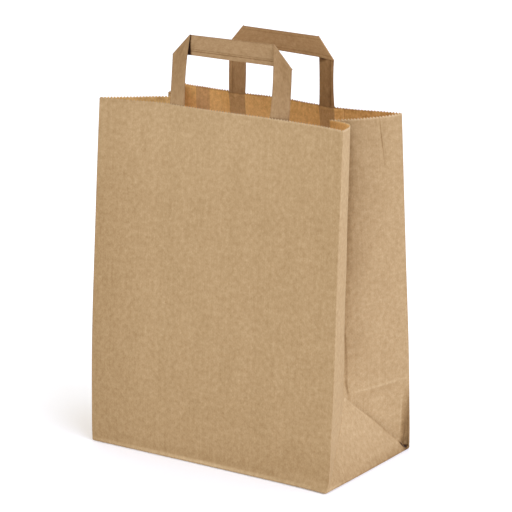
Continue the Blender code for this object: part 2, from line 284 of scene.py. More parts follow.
def ripple(around, up):
    """The slight buckling of paper that has been folded flat and opened again."""
    height = np.zeros(around.shape)
    for wave_number, turn, phase, size in RIPPLES:
        run = around * math.cos(turn) + up * math.sin(turn)
        height += size * np.sin(run * wave_number + phase)
    edges = np.array([start for start, _ in FACES] + [GIRTH])
    nearest = np.min(np.abs(np.mod(around, GIRTH)[..., None] - edges), axis=-1)
    free = np.clip(nearest / HELD_BY_FOLD, 0, 1) * np.clip(up / HELD_BY_FLOOR, 0, 1)
    in_tuck = np.abs(np.mod(around, GIRTH) - BAG_WIDTH - HALF_SIDE / 2) < HALF_SIDE / 2
    free = np.where(in_tuck, RIPPLE_IN_TUCK * free, free)
    return height * RIPPLE_HEIGHT * free


# What folding left in the sheet, in millimetres outward and on the flat sheet
MM = 0.001
FRONT_END_MM, REAR_START_MM, REAR_END_MM = (
    round(edge / MM, 6) for edge in (BAG_WIDTH, BAG_WIDTH + BAG_DEPTH, 2 * BAG_WIDTH + BAG_DEPTH))
HALF_SIDE_MM, WALL_HEIGHT_MM = round(HALF_SIDE / MM, 6), round(WALL_HEIGHT / MM, 6)
SIDE_PITCH = 0.0015
# Each side's rear half sinks above its slanting fold: how deep, how much deeper near the corner
# and how far that reaches, and how far above the fold it fades
LIP_DEPTH_MM, LIP_EXTRA_MM, LIP_EXTRA_REACH_MM, LIP_SPREAD_MM = 1.6, 1.5, 9, 3.0
LIP_DROP = SIDE_PITCH  # it starts one row of the mesh below the fold's own line
LIP_DROP_MM = LIP_DROP / MM
# The fold of the block bottom, a ridge on the sides' rear halves and a valley on the rear wall
RIDGE_MM, RIDGE_SPREAD_MM = 0.75, 1.6
VALLEY_MM, VALLEY_SPREAD_MM = 0.6, 1.8
TROUGH_WIDTH_MM, TROUGH_SLOPE = 9.0, 0.42  # the hollow beside each rear bottom corner
# A fine crease at the right side's rim: depth, place at the rim, slant, width, lower and upper end
NICK_MM, NICK_PLACE_MM, NICK_SLANT, NICK_SPREAD_MM = 0.35, 369.8, 0.065, 1.3
NICK_LOW_MM, NICK_HIGH_MM = 262, 300
# The front wall turns out beside its left edge: how far, over what width, and from what height
EDGE_TURN_MM, EDGE_TURN_SPREAD_MM, EDGE_TURN_FROM_MM = 1.5, 15.0, 25


def step_up(value, start, end):
    """A smooth step from 0 at start to 1 at end, both in the units of the value."""
    share = np.clip((np.asarray(value, float) - start) / (end - start), 0, 1)
    return share * share * (3 - 2 * share)


def rear_half_relief(from_edge, height):
    """The sunk fold, the ridge and the corner trough on the rear half of a side."""
    on_half = (from_edge >= 0) & (from_edge <= HALF_SIDE_MM)
    reach = np.clip(from_edge, 0, HALF_SIDE_MM)
    above = np.clip(height - reach + LIP_DROP_MM, 0, None) / math.sqrt(2)
    depth = LIP_DEPTH_MM + LIP_EXTRA_MM * np.exp(-reach / LIP_EXTRA_REACH_MM)
    depth = depth * step_up(HALF_SIDE_MM - reach, 2, 12)
    sunk = -depth * np.exp(-above / LIP_SPREAD_MM) * step_up(above, 0, 1.0)
    sunk = sunk * (height > reach - LIP_DROP_MM)
    ridge = RIDGE_MM * np.exp(-np.abs(height - HALF_SIDE_MM) / RIDGE_SPREAD_MM)
    ridge = ridge * step_up(reach, 0, 6) * step_up(HALF_SIDE_MM - reach, 4, 16)
    trough_width = TROUGH_WIDTH_MM * np.clip(1 - height / HALF_SIDE_MM, 1e-3, 1)
    in_trough = np.clip(reach / trough_width, 0, 1)
    trough = -TROUGH_SLOPE * trough_width * np.sin(math.pi * in_trough ** 0.8)
    trough = trough * step_up(height, 1, 7)
    return np.where(on_half, sunk + ridge + trough, 0)


def crease_relief(around, up):
    """What the folding left in the sheet, outward: sunk folds, one ridge, the corner troughs."""
    around, height = np.mod(around, GIRTH) / MM, up / MM
    relief = rear_half_relief(REAR_START_MM - around, height)
    relief = relief + rear_half_relief(around - REAR_END_MM, height)
    rear_width = REAR_END_MM - REAR_START_MM
    across = np.clip(around - REAR_START_MM, 0, rear_width)
    valley = -VALLEY_MM * np.exp(-np.abs(height - HALF_SIDE_MM) / VALLEY_SPREAD_MM)
    valley = valley * step_up(across, 0, 8) * step_up(rear_width - across, 0, 8)
    relief += np.where((around > REAR_START_MM) & (around < REAR_END_MM), valley, 0)
    nick_place = NICK_PLACE_MM + (WALL_HEIGHT_MM - height) * NICK_SLANT
    nick = -NICK_MM * np.exp(-(((around - nick_place) / NICK_SPREAD_MM) ** 2))
    relief += nick * step_up(height, NICK_LOW_MM, NICK_HIGH_MM)
    turned = EDGE_TURN_MM * (1 - np.exp(-around / EDGE_TURN_SPREAD_MM))
    turned = turned * (1 - around / FRONT_END_MM) * step_up(height, 0, EDGE_TURN_FROM_MM)
    relief += np.where(around < FRONT_END_MM, turned, 0)
    return relief * MM


# The bottom fold flares towards its front right corner: how far, up to what height, and how far
# it reaches before and past the corner
FLARE_MM, FLARE_HEIGHT_MM, FLARE_BEFORE_MM, FLARE_PAST_MM = 5.0, 5.0, 55, 10
SWELL, SWELL_MIDDLE_MM, SWELL_REACH_MM = 0.006, 100, 62  # the sides stand a little wider low down


def corner_flare(around, up):
    """How far the bottom fold's front right corner sticks out towards the front."""
    past = np.mod(around + HALF_SIDE, GIRTH) / MM - FRONT_END_MM - HALF_SIDE_MM
    reach = np.where(past < 0, np.exp(past / FLARE_BEFORE_MM), np.exp(-past / FLARE_PAST_MM))
    return FLARE_MM * MM * reach * np.exp(-np.clip(up / MM, 0, None) / FLARE_HEIGHT_MM)


# The right side's middle crease isn't quite straight: millimetres towards the front, the height
# where it is so, and how far up and down that reaches
CREASE_SWAYS = [(2.4, 76, 14), (-1.5, 112, 14)]
SWAY_REACH_MM = 22


def crease_sway(around, up):
    """How far the right side's middle crease leans towards the front, low down."""
    from_crease = (np.mod(around, GIRTH) - BAG_WIDTH - HALF_SIDE) / MM
    beside = np.exp(-((from_crease / SWAY_REACH_MM) ** 2))
    return sum(
        sway * MM * beside * np.exp(-(((up / MM - height) / spread) ** 2))
        for sway, height, spread in CREASE_SWAYS)


def bag_sheet_surface(around, up):
    """Points on the outer face of the finished sheet."""
    lift = ripple(around, up) + crease_relief(around, up)
    place = soft_sheet(around, up) + outward_normals(around, up) * lift[..., None]
    place[..., 1] -= corner_flare(around, up) + crease_sway(around, up)
    place[..., 0] *= 1 + SWELL * np.exp(-((up / MM - SWELL_MIDDLE_MM) / SWELL_REACH_MM) ** 2)
    return place + np.array([0, 0, STAND])


def crease_steps(length, pitch, fine=(0.0004, 0.0009, 0.0016)):
    """Places from 0 to a length, close together near both ends and evenly spaced between."""
    fine = [step for step in fine if step < 0.8 * pitch]
    inner = length - 2 * pitch
    count = max(1, round(inner / pitch))
    middle = [pitch + inner * step / count for step in range(count + 1)]
    return [0.0, *fine, *middle, *[length - step for step in reversed(fine)]]


# Pitches of the mesh on the walls and up the upper part; the sides use the pitch given above
SHEET_PITCH, UPPER_PITCH, RIM_BAND = 0.003, 0.0045, 0.0006
half_steps = crease_steps(HALF_SIDE, SIDE_PITCH)
side_steps = half_steps + [HALF_SIDE + step for step in half_steps]
wall_steps = crease_steps(BAG_WIDTH, SHEET_PITCH)
columns = []
for (start, _), steps in zip(FACES, (wall_steps, side_steps, wall_steps, side_steps)):
    columns += [start + step for step in steps]
upper_height = WALL_HEIGHT - TOOTH_DEPTH - RIM_BAND - HALF_SIDE
# The rim isn't a crease, so its side of the upper part does without the three fine rows
upper_rows = crease_steps(upper_height, UPPER_PITCH)[:-3] + [upper_height]
under_rows = [-0.0045, -0.0030, -0.0020, -0.0012, -0.0006]  # the turned-in edge of the floor
rows = under_rows + half_steps + [HALF_SIDE + step for step in upper_rows]


def rim_height(around):
    """Height of the toothed rim along the sheet."""
    phase = np.mod(around / TOOTH_PITCH, 1.0)
    return WALL_HEIGHT - TOOTH_DEPTH * np.abs(2 * phase - 1)


def mesh_piece(name, vertices, faces, flat_places, materials):
    """A smooth mesh from its corners and faces, with each corner's place on the flat paper."""
    mesh = bpy.data.meshes.new(name)
    mesh.from_pydata([tuple(v) for v in vertices], [], faces)
    for material in materials:
        mesh.materials.append(material)
    layer = mesh.uv_layers.new(name="flat_paper")
    corners = np.zeros(len(mesh.loops), np.int32)
    mesh.loops.foreach_get("vertex_index", corners)
    layer.data.foreach_set("uv", np.asarray(flat_places, np.float32)[corners].ravel())
    mesh.shade_smooth()
    piece = bpy.data.objects.new(name, mesh)
    bpy.context.scene.collection.objects.link(piece)
    return piece


def linear(hex_colour):
    """An sRGB hex colour as Blender's linear colour."""
    parts = [int(hex_colour[place:place + 2], 16) / 255 for place in (0, 2, 4)]
    return (*[c / 12.92 if c <= 0.04045 else ((c + 0.055) / 1.055) ** 2.4 for c in parts], 1.0)


def add_node(tree, kind, inputs=None, **settings):
    """One node with its settings, and its inputs as values or as links from other nodes."""
    node = tree.nodes.new(kind)
    for name, value in settings.items():
        setattr(node, name, value)
    for name, value in (inputs or {}).items():
        if isinstance(value, bpy.types.NodeSocket):
            tree.links.new(value, node.inputs[name])
        else:
            node.inputs[name].default_value = value
    return node


# Width and length of each pattern in the paper, and how much it lightens and darkens it
CLOUDS = (14.0, 19.6, 0.05)  # uneven drying
FLOCS = (3.8, 4.56, 0.25)  # cloudy clumps of fibre
FIBRES = (0.85, 1.8, 0.21)  # real fibres are 0.03 mm wide, drawn coarser to show
STREAKS = (1.3, 60.0, 0.09)  # along the paper machine's run
SPECK_MM, SPECK_LENGTH_MM, SPECK_TONE = 6.0, 8.4, 0.84  # about one bark speck in each such field
SPECK_CORE, SPECK_EDGE = 0.03, 0.09  # its dark middle and its soft edge, as shares of the field
DARKEST_TONE = 0.06
GREEN_POWER, BLUE_POWER = 1.25, 1.7  # shaded and thick places are browner as well as darker
FUZZ_MM = 0.06  # height of the fibres on the surface

# Painted light and shade along the folds, and a few marks that folding left on the paper, in
# millimetres on the flat sheet: both ends of the line, its half width, and how much lighter or
# darker it is in its middle. These are the right side's, and the left side's folds have the same ones
SIDE_FOLD_PAINTED_LIGHT_AND_SHADE = [
    (321.5, 70.6, 396.8, -7.8, 2.6, -0.27),  # shade in the sunk fold of the rear half
    (319, 69.5, 360, 28.5, 1.1, 0.13),  # its lower edge catches the light
    (250, -4, 326, 72, 1.2, -0.12),  # the same fold on the front half, which lies flat
    (308, 69.5, 404, 69.5, 2.4, 0.13),  # ridge where the block bottom was folded over: paler broken fibres, and a painted highlight
    (389.4, 66, 384.3, -26, 6.4, -0.60),  # shade of the trough beside the rear corner
    (377.5, 12.0, 384.0, 3.0, 1.6, -0.76),  # painted shade in the gap that opens at that corner
    (382.5, 4.6, 394.0, 1.6, 1.6, -0.76),
    (270, 0, 490, 0, 11, -0.26),  # painted shade, darker along the bottom round the corner's foot
]
MIRROR_MM = REAR_START_MM + REAR_END_MM
LEFT_FOLD_PAINTED_LIGHT_AND_SHADE = [
    (MIRROR_MM - start_u, start_v, MIRROR_MM - end_u, end_v, half_width, amount)
    for start_u, start_v, end_u, end_v, half_width, amount in SIDE_FOLD_PAINTED_LIGHT_AND_SHADE]
OUTSIDE_WEAR_AND_PAINTED_LIGHT = SIDE_FOLD_PAINTED_LIGHT_AND_SHADE + LEFT_FOLD_PAINTED_LIGHT_AND_SHADE + [
    (324.5, 185, 327, 52, 2.0, -0.31),  # painted shade along the middle crease, down to where the folds meet in a pucker
    (324.2, 90, 329.5, 61, 1.8, -0.30),
    # a painted highlight on the pucker's tip
    (319, 64.5, 326, 68.5, 1.8, 0.24),
    (330, 480, 330, 40, 15, -0.20),  # shade deep in the right tuck
    (345, 350, 321, 60, 6, -0.16),
    (344, 400, 340, 190, 13, -0.05),
    (708, 480, 708, 40, 15, -0.22),  # and in the left one
    (330, 65.0, 396, 65.0, 4.0, -0.06),  # painted shade under the ridge of the block bottom's fold
    (392, 69.0, 646, 69.0, 1.2, -0.10),  # painted shade in the block bottom's fold across the rear wall
    (384.5, 66, 379.5, 0, 1.2, 0.14),  # the trough's edge catches the light
    (369.0, 330, 373.4, 262, 0.8, -0.36),  # painted shade in a fine crease at the rim
    (-60, 2.2, 314, 2.2, 2.6, 0.34),  # rubbed bottom edge of the front wall
    (250, 1.2, 396, 1.2, 1.3, -0.12),  # bottom edge of the right side, less rubbed
    # painted shade at the right side's foot, just past the front corner
    (262, 3, 300, 1, 5, -0.12),
    (-40, 8.0, 290, 8.0, 5.0, -0.07),  # shade above the front's bottom edge, but not at its corner
    # a painted highlight at the front's bottom right corner
    (190, 9.5, 258, 6.0, 5.5, 0.14),
    (-2000, 5, 2800, 5, 130, -0.05),  # painted shade: a little darker low down
    # painted light on the right side's lower part, and painted shade along the foot of the front and
    # the right side
    (230, 30, 416, 30, 62, 0.09),
    (130, 12, 440, 12, 34, -0.09),
    (0, -200, 0, 515, 62, -0.12),  # painted shade: the left edge is a little darker
    (-200, 290, 454, 290, 60, 0.06),  # painted light: the web is a little paler towards the rim
    (-60, 315, 844, 315, 2.8, 0.55),  # lighter along the cut: fuzzy fibres, and a painted highlight on the rim
]
# Painted light and shade on the inside of the sheet, in the same form
INSIDE_PAINTED_LIGHT_AND_SHADE = [
    (-400, 315, 1184, 315, 22, -0.30),  # less light comes through beside the rim
    (360, 315, 740, 315, 3.2, -0.62),  # painted shade along the thin cut teeth
    (385, 315, 480, 315, 20, -0.13),  # and still less at the rear right corner
    (540, 298, 690, 298, 34, 0.20),  # the rear left corner and the front right one catch the light
    (240, 315, 330, 315, 26, 0.36),
]


def kraft_paper(name, colour, roughness, marks=(), bands=(), mottle=1.0):
    """Unbleached kraft paper: matt, clouded, faintly streaked along its run, with bark specks.

    A band is a stretch of the paper in another colour: its middle and half width round the bag,
    the height that it starts at, and its colour.
    """
    material = bpy.data.materials.new(name)
    material.use_nodes = True
    tree = material.node_tree
    shader = tree.nodes["Principled BSDF"]
    shader.inputs["Specular IOR Level"].default_value = 0.25
    flat = add_node(tree, "ShaderNodeUVMap", uv_map="flat_paper").outputs["UV"]

    def pattern(size, detail):
        width_mm, length_mm, _ = size
        scale = (1 / (width_mm * MM), 1 / (length_mm * MM), 1)
        placed = add_node(tree, "ShaderNodeMapping", {"Vector": flat, "Scale": scale})
        noise = add_node(tree, "ShaderNodeTexNoise", {
            "Vector": placed.outputs["Vector"], "Scale": 1.0, "Detail": detail, "Roughness": 0.55})
        return noise.outputs["Fac"]

    clouds, flocs, fibres, streaks = (
        pattern(size, detail) for size, detail in ((CLOUDS, 1), (FLOCS, 3), (FIBRES, 2), (STREAKS, 2)))
    shade = None
    for source, size in ((clouds, CLOUDS), (flocs, FLOCS), (fibres, FIBRES), (streaks, STREAKS)):
        amount = size[2] * mottle
        share = add_node(tree, "ShaderNodeMapRange", {
            "Value": source, "From Min": 0.25, "From Max": 0.75,
            "To Min": 1 - amount / 2, "To Max": 1 + amount / 2}, clamp=False).outputs["Result"]
        if shade is not None:
            share = add_node(tree, "ShaderNodeMath", {0: shade, 1: share}, operation="MULTIPLY")
            share = share.outputs["Value"]
        shade = share
    placed = add_node(tree, "ShaderNodeMapping", {
        "Vector": flat, "Scale": (1 / (SPECK_MM * MM), 1 / (SPECK_LENGTH_MM * MM), 1)})
    cells = add_node(tree, "ShaderNodeTexVoronoi", {
        "Vector": placed.outputs["Vector"], "Scale": 1.0, "Randomness": 1.0})
    specks = add_node(tree, "ShaderNodeMapRange", {
        "Value": cells.outputs["Distance"], "From Min": SPECK_CORE, "From Max": SPECK_EDGE,
        "To Min": SPECK_TONE, "To Max": 1.0}).outputs["Result"]
    tone = add_node(tree, "ShaderNodeMath", {0: shade, 1: specks}, operation="MULTIPLY")
    tone = tone.outputs["Value"]
    for start_u, start_v, end_u, end_v, half_width, amount in marks:
        run_u, run_v = end_u - start_u, end_v - start_v
        placed = add_node(tree, "ShaderNodeMapping", {
            "Vector": flat,
            "Location": ((start_u + end_u) / 2 * MM, (start_v + end_v) / 2 * MM, 0),
            "Rotation": (0, 0, math.atan2(run_v, run_u)),
            "Scale": (math.hypot(run_u, run_v) / 2 * MM, half_width * MM, 1)},
            vector_type="TEXTURE")
        spot = add_node(tree, "ShaderNodeTexGradient", {
            "Vector": placed.outputs["Vector"]}, gradient_type="SPHERICAL")
        tone = add_node(tree, "ShaderNodeMath", {
            0: spot.outputs["Fac"], 1: amount, 2: tone}, operation="MULTIPLY_ADD")
        tone = tone.outputs["Value"]
    tone = add_node(tree, "ShaderNodeMath", {0: tone, 1: DARKEST_TONE}, operation="MAXIMUM")
    tone = tone.outputs["Value"]
    green, blue = (
        add_node(tree, "ShaderNodeMath", {0: tone, 1: power}, operation="POWER").outputs["Value"]
        for power in (GREEN_POWER, BLUE_POWER))
    tones = add_node(tree, "ShaderNodeCombineXYZ", {"X": tone, "Y": green, "Z": blue})
    tones = tones.outputs["Vector"]
    tint = add_node(tree, "ShaderNodeVectorMath", {
        0: tones, 1: linear(colour)[:3]}, operation="MULTIPLY").outputs["Vector"]
    axes = add_node(tree, "ShaderNodeSeparateXYZ", {"Vector": flat})
    for middle, half_width, lowest, band_colour in bands:
        across = add_node(tree, "ShaderNodeMath", {
            0: axes.outputs["X"], 1: middle * MM, 2: half_width * MM}, operation="COMPARE")
        over = add_node(tree, "ShaderNodeMath", {
            0: axes.outputs["Y"], 1: lowest * MM}, operation="GREATER_THAN")
        cover = add_node(tree, "ShaderNodeMath", {
            0: across.outputs["Value"], 1: over.outputs["Value"]}, operation="MULTIPLY")
        band_tint = add_node(tree, "ShaderNodeVectorMath", {
            0: tones, 1: linear(band_colour)[:3]}, operation="MULTIPLY").outputs["Vector"]
        blend = add_node(tree, "ShaderNodeMix", data_type="VECTOR", factor_mode="UNIFORM")
        for socket, source in ((0, cover.outputs["Value"]), (4, tint), (5, band_tint)):
            tree.links.new(source, blend.inputs[socket])
        tint = blend.outputs[1]
    tree.links.new(tint, shader.inputs["Base Color"])
    dull = add_node(tree, "ShaderNodeMapRange", {
        "Value": fibres, "From Min": 0.3, "From Max": 0.7,
        "To Min": roughness - 0.05, "To Max": roughness + 0.05})
    tree.links.new(dull.outputs["Result"], shader.inputs["Roughness"])
    relief = add_node(tree, "ShaderNodeMath", {0: fibres, 1: flocs}, operation="ADD")
    bump = add_node(tree, "ShaderNodeBump", {
        "Height": relief.outputs["Value"], "Strength": 0.5, "Distance": FUZZ_MM * MM})
    tree.links.new(bump.outputs["Normal"], shader.inputs["Normal"])
    return material


# Unbleached kraft paper as it comes off the machine: a warm matt brown with no gloss
KRAFT_ROUGHNESS = 0.85
kraft_outside = kraft_paper("kraft_paper_outside", "A78A62", KRAFT_ROUGHNESS, OUTSIDE_WEAR_AND_PAINTED_LIGHT)
# The same sheet seen from inside the bag, painted golden and brighter for the light that comes through
# it
KRAFT_WITH_PAINTED_BACKLIGHT = "EDBC76"
INSIDE_BANDS = [
    (613, 8, -100, "D6A871"),  # less light comes through where the lap seam makes it double
    (680.5, 34.5, -100, "B48C50"),  # the left side's rear half is turned from the light
    (749.5, 34.5, -100, "CFA869"),
]
kraft_inside = kraft_paper(
    "kraft_paper_inside", KRAFT_WITH_PAINTED_BACKLIGHT, KRAFT_ROUGHNESS, INSIDE_PAINTED_LIGHT_AND_SHADE, INSIDE_BANDS, 1.2)

around_grid, up_grid = np.meshgrid(np.array(columns), np.array(rows))
across_count, row_count = len(columns), len(rows)
sheet_vertices = list(bag_sheet_surface(around_grid, up_grid).reshape(-1, 3))
flat_places = [tuple(pair) for pair in np.stack([around_grid, up_grid], -1).reshape(-1, 2)]
sheet_faces, sharp_pairs = [], []
SAME_PLACE, SAME_POINT = 1e-6, 2e-5


def side_of_bag(left, right):
    """Places of a column from its side's front or rear start, where the column is on a side."""
    for side_start in (BAG_WIDTH, 2 * BAG_WIDTH + BAG_DEPTH):
        side_end = side_start + BAG_DEPTH
        if side_start - SAME_PLACE <= left and right <= side_end + SAME_PLACE:
            return left - side_start, right - side_start
    return None


# On the sides each quad is cut along the slant of the fold, and the fold's own edges are sharp
for row in range(row_count - 1):
    low, high = rows[row], rows[row + 1]
    for column in range(across_count):
        following = (column + 1) % across_count
        a, b = row * across_count + column, row * across_count + following
        c, d = b + across_count, a + across_count
        on_side = side_of_bag(columns[column], columns[following] if following else GIRTH)
        if on_side is None:
            sheet_faces.append((a, b, c, d))
            continue
        left, right = on_side
        rising = right <= HALF_SIDE + SAME_PLACE
        if rising:
            sheet_faces += [(a, b, c), (a, c, d)]
            reach_low, reach_high, slant = left, right, (a, c)
        else:
            sheet_faces += [(a, b, d), (b, c, d)]
            reach_low, reach_high, slant = BAG_DEPTH - right, BAG_DEPTH - left, (b, d)
        offsets = (reach_low - low - LIP_DROP, reach_high - high - LIP_DROP)
        if max(abs(offset) for offset in offsets) < SAME_PLACE:
            sharp_pairs.append(slant)

# The floor of the sheet, over the glued flaps
sheet_faces.append(tuple(reversed(range(across_count))))

# The toothed rim: a narrow band whose upper edge runs over every tooth
top_row = (row_count - 1) * across_count
HALF_TOOTH, CLEAR_OF_COLUMN = TOOTH_PITCH / 2, 2e-4
rim_places = []
for left, right in zip(columns, columns[1:] + [GIRTH]):
    first = math.floor(left / HALF_TOOTH) + 1
    past = math.ceil(right / HALF_TOOTH)
    turns = [n * HALF_TOOTH for n in range(first, past + 1)]
    rim_places.append(
        [left] + [at for at in turns if left + CLEAR_OF_COLUMN < at < right - CLEAR_OF_COLUMN])
flat_rim = np.array([at for group in rim_places for at in group])
rim_up = rim_height(flat_rim)
rim_first = len(sheet_vertices)
sheet_vertices += list(bag_sheet_surface(flat_rim, rim_up))
flat_places += list(zip(flat_rim, rim_up))
position = 0
for column, group in enumerate(rim_places):
    own = [rim_first + position + step for step in range(len(group))]
    position += len(group)
    after = rim_first + position if column + 1 < across_count else rim_first
    following = (column + 1) % across_count
    sheet_faces.append((top_row + column, top_row + following, after, *reversed(own)))

bag_sheet = mesh_piece(
    "bag_sheet", sheet_vertices, sheet_faces, flat_places, [kraft_outside, kraft_inside])
shape = bmesh.new()
shape.from_mesh(bag_sheet.data)
shape.verts.ensure_lookup_table()
for first, second in sharp_pairs:
    edge = shape.edges.get((shape.verts[first], shape.verts[second]))
    edge.smooth = False
# Points that fall together where the turned-in edges meet become one
bmesh.ops.remove_doubles(shape, verts=shape.verts, dist=SAME_POINT)
# The floor has flat places of its own, so that the paper's pattern runs over it unstretched
flat_layer = shape.loops.layers.uv["flat_paper"]
for corner in max(shape.faces, key=lambda face: len(face.verts)).loops:
    place = corner.vert.co
    corner[flat_layer].uv = (BAG_WIDTH / 2 + place.x, -BAG_DEPTH / 2 - place.y)
bmesh.ops.triangulate(shape, faces=[face for face in shape.faces if len(face.verts) > 4])
shape.to_mesh(bag_sheet.data)
shape.free()


def thicken(piece, thickness):
    """Give a sheet its thickness, inward from the side that its faces look to."""
    ply = piece.modifiers.new("ply", "SOLIDIFY")
    ply.thickness, ply.offset = thickness, -1
    return ply


thicken(bag_sheet, SHEET_THICKNESS).material_offset = 1  # its inner face has the inside's paper
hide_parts("bag_body")
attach(bag_sheet, "root")


# The handles. Each is one tape of kraft paper folded to several plies, laid flat, folded over at
# 45 degrees at both upper corners and glued to the inside of its wall by both ends.
TAPE_WIDTH, TAPE_HALF_PLY = 0.0173, 0.0003
TAPE_BELOW_RIM = 0.042
TAPE_CLEARANCE = 0.00015
FOLD_RADIUS = 0.00042  # of the fold's roll, half the distance between a leg's and the bar's middle
STAND_OFF_REACH = 0.030  # a leg that stands off its wall at the rim is back on it this far down
# Millimetres. A leg's outer and inner edge: x at the rim, stand-off from the wall at the rim,
# then (x, y, height over the rim) at its bend and at its fold
HANDLE_EDGES = {
    "front_handle": {
        "wall": "front",
        "left": {"outer": (-61.5, 0.0, (-61.0, -28.9, 30.0), (-60.8, -27.9, 42.5)),
                 "inner": (-45.0, 0.0, (-43.8, -29.9, 44.0), (-43.1, -26.3, 61.4))},
        "right": {"outer": (61.8, 4.6, (63.0, -28.9, 28.0), (62.9, -27.9, 42.0)),
                  "inner": (45.0, 0.0, (46.0, -31.0, 44.0), (42.8, -26.3, 61.4))},
    },
    "rear_handle": {
        "wall": "rear",
        "left": {"outer": (-48.0, 2.4, (-47.2, 39.8, 30.0), (-46.0, 38.9, 43.5)),
                 "inner": (-31.0, 0.0, (-29.2, 39.3, 44.0), (-28.4, 36.0, 61.7))},
        "right": {"outer": (68.0, 0.0, (68.7, 29.6, 30.0), (69.4, 29.3, 41.2)),
                  "inner": (51.1, 0.0, (52.9, 31.4, 44.0), (53.4, 29.2, 61.4))},
    },
}
# The bar's lower edge runs this much higher than the folds' outer ends, but for a share at each end
BAR_LIFT_MM, BAR_LIFT_SHARE = 1.3, 0.145
RIM_SAMPLES = 400


def sheet_across(name, x):
    """How far across its wall, from the wall's own first edge, the rim has this x."""
    across = np.linspace(0, BAG_WIDTH, RIM_SAMPLES)
    rim_x = wall(name, across, np.full_like(across, WALL_HEIGHT))[:, 0]
    order = np.argsort(rim_x)
    return float(np.interp(x, rim_x[order], across[order]))


def inner_face(name, across, up, clearance):
    """Points inside the bag at a clearance from the inner face of a wall."""
    start = 0.0 if name == "front" else BAG_WIDTH + BAG_DEPTH
    around = start + np.asarray(across, float)
    up = np.asarray(up, float)
    around, up, clearance = np.broadcast_arrays(around, up, clearance)
    inward = -outward_normals(around, up)
    return bag_sheet_surface(around, up) + inward * (SHEET_THICKNESS + clearance)[..., None]


def through(values, heights, at):
    """A smooth run through three values given at three heights."""
    return np.polyval(np.polyfit(heights, values, 2), at)


def leg_surface(name, side, shares, across_share):
    """The middle of a leg: rows run from -1, its glued end, over 0, the rim, to 1, its fold."""
    facts = HANDLE_EDGES[name]
    wall_name, edges = facts["wall"], (facts[side]["outer"], facts[side]["inner"])
    shares, across_share = np.meshgrid(shares, across_share, indexing="ij")
    first, second = (sheet_across(wall_name, edge[0] * MM) for edge in edges)
    across = first + (second - first) * across_share
    stand_off = (edges[0][1] + (edges[1][1] - edges[0][1]) * across_share) * MM
    depth = np.clip(-shares, 0, 1) * TAPE_BELOW_RIM
    lift = stand_off * np.clip(1 - depth / STAND_OFF_REACH, 0, 1) ** 2
    glued = inner_face(
        wall_name, across, WALL_HEIGHT - depth, TAPE_CLEARANCE + TAPE_HALF_PLY + lift)
    at_rim = glued[np.argmin(np.abs(shares[:, 0]))]
    ends = (at_rim[0], at_rim[len(PLAIN_FACE) - 1])
    free = []
    for (_, _, bend, fold), rim in zip(edges, ends):
        heights = np.array([0.0, bend[2], fold[2]]) * MM
        height = np.clip(shares, 0, 1) * heights[-1]
        free.append(points(
            through([rim[0], bend[0] * MM, fold[0] * MM], heights, height),
            through([rim[1], bend[1] * MM, fold[1] * MM], heights, height),
            rim[2] + height))
    sag = at_rim - mixed(ends[0], ends[1], across_share[0])
    flattening = np.clip(1 - shares, 0, 1) ** 2
    free = mixed(free[0], free[1], across_share) + sag[None] * flattening[..., None]
    return np.where((shares < 0)[..., None], glued, free)


# Across the tape, millimetres from its outer edge, the height of each face over its middle. The
# last ply of the folded tape ends in a step and a scored line on one face only.
PLAIN_FACE = [(0.0, 0.12), (0.12, 0.27), (0.5, 0.3), (4.0, 0.3), (8.6, 0.3), (13.0, 0.3),
              (16.8, 0.3), (17.18, 0.27), (17.3, 0.12)]
PLY_FACE = [(17.3, -0.12), (17.18, -0.27), (16.8, -0.3), (13.0, -0.3), (8.6, -0.3), (5.4, -0.3),
            (5.15, -0.12), (4.9, -0.3), (3.9, -0.3), (3.75, -0.14), (2.0, -0.14), (0.5, -0.14),
            (0.12, -0.13), (0.0, -0.06)]
LEG_SHARES = [-1.0, -0.8, -0.6, -0.4, -0.2, -0.08, 0.0, 0.1, 0.25, 0.4, 0.55, 0.7, 0.85, 0.95, 1.0]
ROLL_STEPS, BAR_STEPS = 6, 18
TAPE_RUN = 0.28  # the tape's whole length, near enough for the run of its fibres
PLY_FACE_PLACE = 0.040  # the ply face's place beside the plain face on the flat paper
SHARP_FROM = 35  # degrees, so that the tape's edges and folds stay crisp


